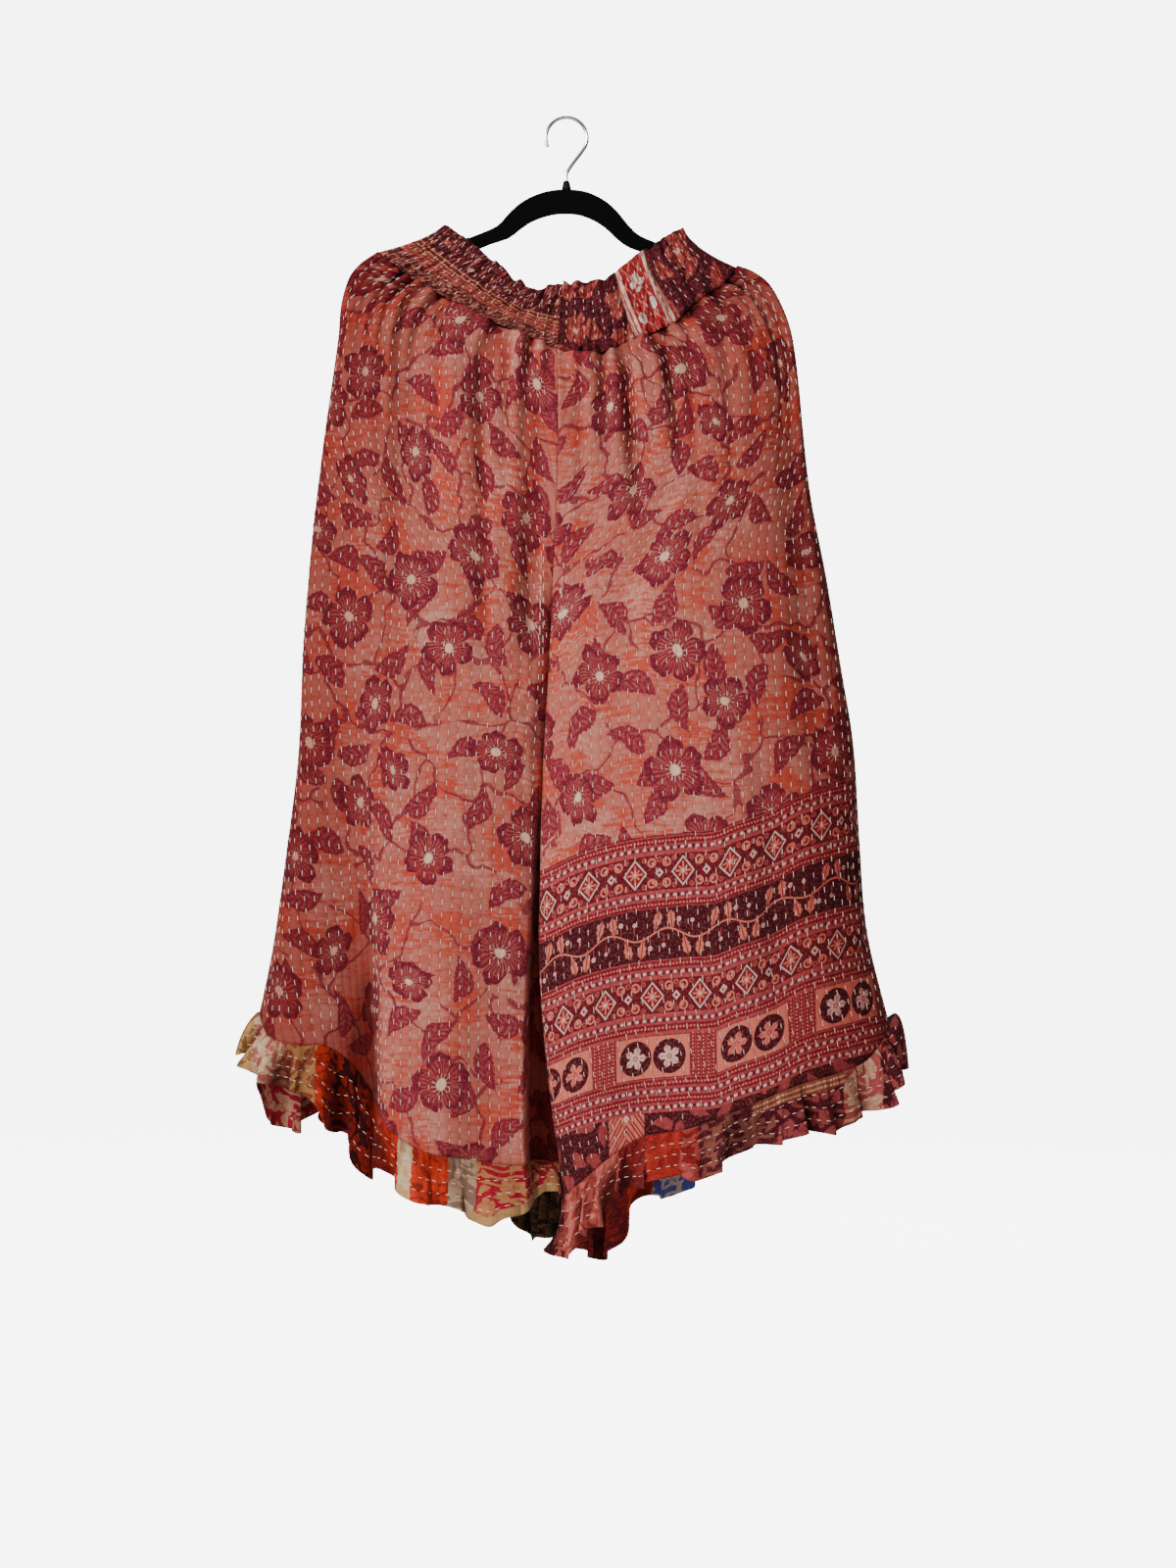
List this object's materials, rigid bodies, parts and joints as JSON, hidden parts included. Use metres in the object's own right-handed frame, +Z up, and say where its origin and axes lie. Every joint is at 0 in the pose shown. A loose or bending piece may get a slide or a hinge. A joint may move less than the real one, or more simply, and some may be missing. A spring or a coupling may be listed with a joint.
{
  "type": "wide-legged ruffle capri trousers on a flat hanger",
  "caption": "wide-legged quilted cotton capri trousers with a gathered waistband and ruffled hems, hanging empty by the waist from a flocked flat hanger with a wire hook",
  "frame": {"origin": "the point inside the top of the hanger's hook, where the rail carries it", "axes": "+Z up; -Y is the front of the garment; +X is to the right as one looks at the front"},
  "size_m": [0.6617, 0.1722, 1.1168],
  "materials": {
    "print_cloth": "two-layer cotton print in salmon with maroon flowers, quilted with white running stitches",
    "border_cloth": "the same quilted cotton, printed with flowers above and a bordered panel in maroon below",
    "band_cloth": "gathered cotton in maroon, with salmon figures and a gold-dotted edge",
    "band_inset": "a light strip of printed cotton let into the waistband",
    "ruffle_bright": "patched strips of printed cotton in orange-red, cream, gold and crimson",
    "ruffle_dark": "patched strips of printed cotton in maroon, salmon and rust",
    "hanger_flock": "black flock on a plastic board",
    "hanger_collar": "moulded black collar under the hook",
    "hook_wire": "polished steel wire"
  },
  "bodies": {
    "root": {"leg_left_front": "print_cloth", "leg_left_back": "print_cloth", "leg_right_front": "border_cloth", "leg_right_back": "print_cloth", "ruffle_left_front": "ruffle_bright", "ruffle_left_back": "ruffle_bright", "ruffle_right_front": "ruffle_dark", "ruffle_right_back": "ruffle_dark", "waistband_front_bordered": "band_cloth", "waistband_front_flowered": "band_cloth", "waistband_front_inset": "band_inset", "waistband_front_end": "band_cloth", "waistband_back": "band_cloth", "hanger_board": "hanger_flock", "hanger_collar": "hanger_collar", "hanger_hook": "hook_wire"}
  },
  "joints": []
}
